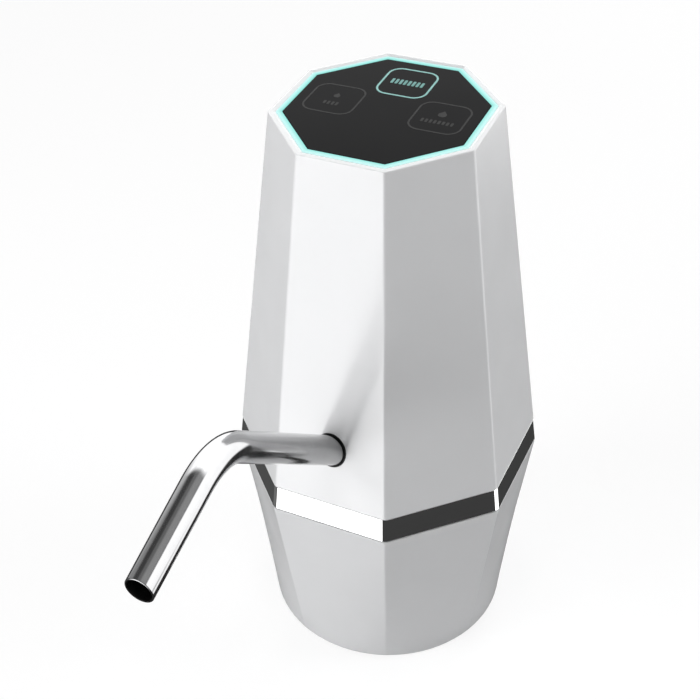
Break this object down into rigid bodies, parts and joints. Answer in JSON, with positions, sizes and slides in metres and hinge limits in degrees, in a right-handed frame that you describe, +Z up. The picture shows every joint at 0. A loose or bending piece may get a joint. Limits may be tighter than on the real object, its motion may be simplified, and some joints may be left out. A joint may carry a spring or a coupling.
{
  "type": "electric water jug pump",
  "caption": "Octagonal white battery pump for the neck of a water jug, with a chrome band, a bent steel spout and a lit black touch panel.",
  "frame": {"origin": "centre of the foot ring on the surface it stands on, on the axis of the jug's neck", "axes": "+Z up along the axis of the jug's neck, -Y the way the spout points, +X to the right of someone who looks at the pump from the spout's side"},
  "size_m": [0.085, 0.1718, 0.1734],
  "materials": {
    "shell_plastic": "high-gloss white",
    "trim_chrome": "mirror-bright plating",
    "panel_black": "glossy black with a faint smoke tint",
    "light_guide": "frosted, lit cyan from below",
    "spout_steel": "polished stainless steel",
    "black_rubber": "matt",
    "silicone": "milky silicone",
    "inner_plastic": "plain moulded",
    "dark_plastic": "plain moulded",
    "screw_steel": "zinc-plated",
    "motor_steel": "nickel-plated",
    "contact_brass": "bright",
    "winding_copper": "enamelled copper",
    "magnet": "dull ceramic",
    "cell_can": "blue film wrap",
    "board": "green solder resist",
    "lead_plastic": "red insulation"
  },
  "bodies": {
    "body": {"upper_shell": "shell_plastic", "trim_band": "trim_chrome", "lower_shell": "shell_plastic", "neck_seal": "silicone", "inlet_fitting": "inner_plastic", "inlet_nut": "inner_plastic", "base_screw_1": "screw_steel", "base_screw_2": "screw_steel", "base_screw_3": "screw_steel", "chassis": "inner_plastic", "battery_cell": "cell_can", "light_guide": "light_guide", "touch_panel": "panel_black", "touch_board": "board", "board_screw_1": "screw_steel", "board_screw_2": "screw_steel", "touch_spring_back": "contact_brass", "touch_spring_left": "contact_brass", "touch_spring_right": "contact_brass", "spout_grommet": "black_rubber", "spout_socket": "inner_plastic", "socket_screw_1": "screw_steel", "socket_screw_2": "screw_steel", "pump_head": "inner_plastic", "valve_plate": "dark_plastic", "inlet_valve": "black_rubber", "outlet_valve": "black_rubber", "diaphragm": "black_rubber", "crankcase": "dark_plastic", "pump_screw_1": "screw_steel", "pump_screw_2": "screw_steel", "pump_screw_3": "screw_steel", "pump_screw_4": "screw_steel", "pump_mount_screw_1": "screw_steel", "pump_mount_screw_2": "screw_steel", "motor_can": "motor_steel", "motor_end_cap": "dark_plastic", "motor_bush_front": "contact_brass", "motor_bush_rear": "contact_brass", "magnet_1": "magnet", "magnet_2": "magnet", "brush_1": "contact_brass", "brush_2": "contact_brass", "inlet_hose": "silicone", "outlet_hose": "silicone", "charge_board": "board", "usb_socket": "motor_steel", "charge_screw_1": "screw_steel", "charge_screw_2": "screw_steel", "motor_lead": "lead_plastic", "battery_lead": "lead_plastic", "ribbon_cable": "inner_plastic"},
    "rotor": {"motor_shaft": "motor_steel", "armature": "winding_copper", "commutator": "winding_copper", "crank_hub": "dark_plastic"},
    "wobble": {"wobble_plate": "inner_plastic"},
    "ring": {"spout_ring": "black_rubber"},
    "spout": {"spout_tube": "spout_steel"}
  },
  "joints": [
    {"name": "motor_spin", "type": "hinge", "parent": "body", "child": "rotor", "pos_m": [0.014, 0.008, 0.09], "axis": [0, 0, 1], "continuous": true},
    {"name": "plate_nod", "type": "hinge", "parent": "rotor", "child": "wobble", "pos_m": [0.014, 0.008, 0.079], "axis": [0.1219, 0, 0.9925], "continuous": true, "deforming": ["diaphragm"]},
    {"name": "spout_swivel", "type": "hinge", "parent": "body", "child": "ring", "pos_m": [0, -0.03919, 0.0857], "axis": [0, -0.766, 0.6428], "continuous": true},
    {"name": "spout_pull", "type": "slide", "parent": "ring", "child": "spout", "axis": [0, -0.766, 0.6428], "range_m": [0, 0.02]}
  ],
  "couplings": [
    {"joint": "plate_nod", "follows": "motor_spin", "ratio": -1}
  ]
}
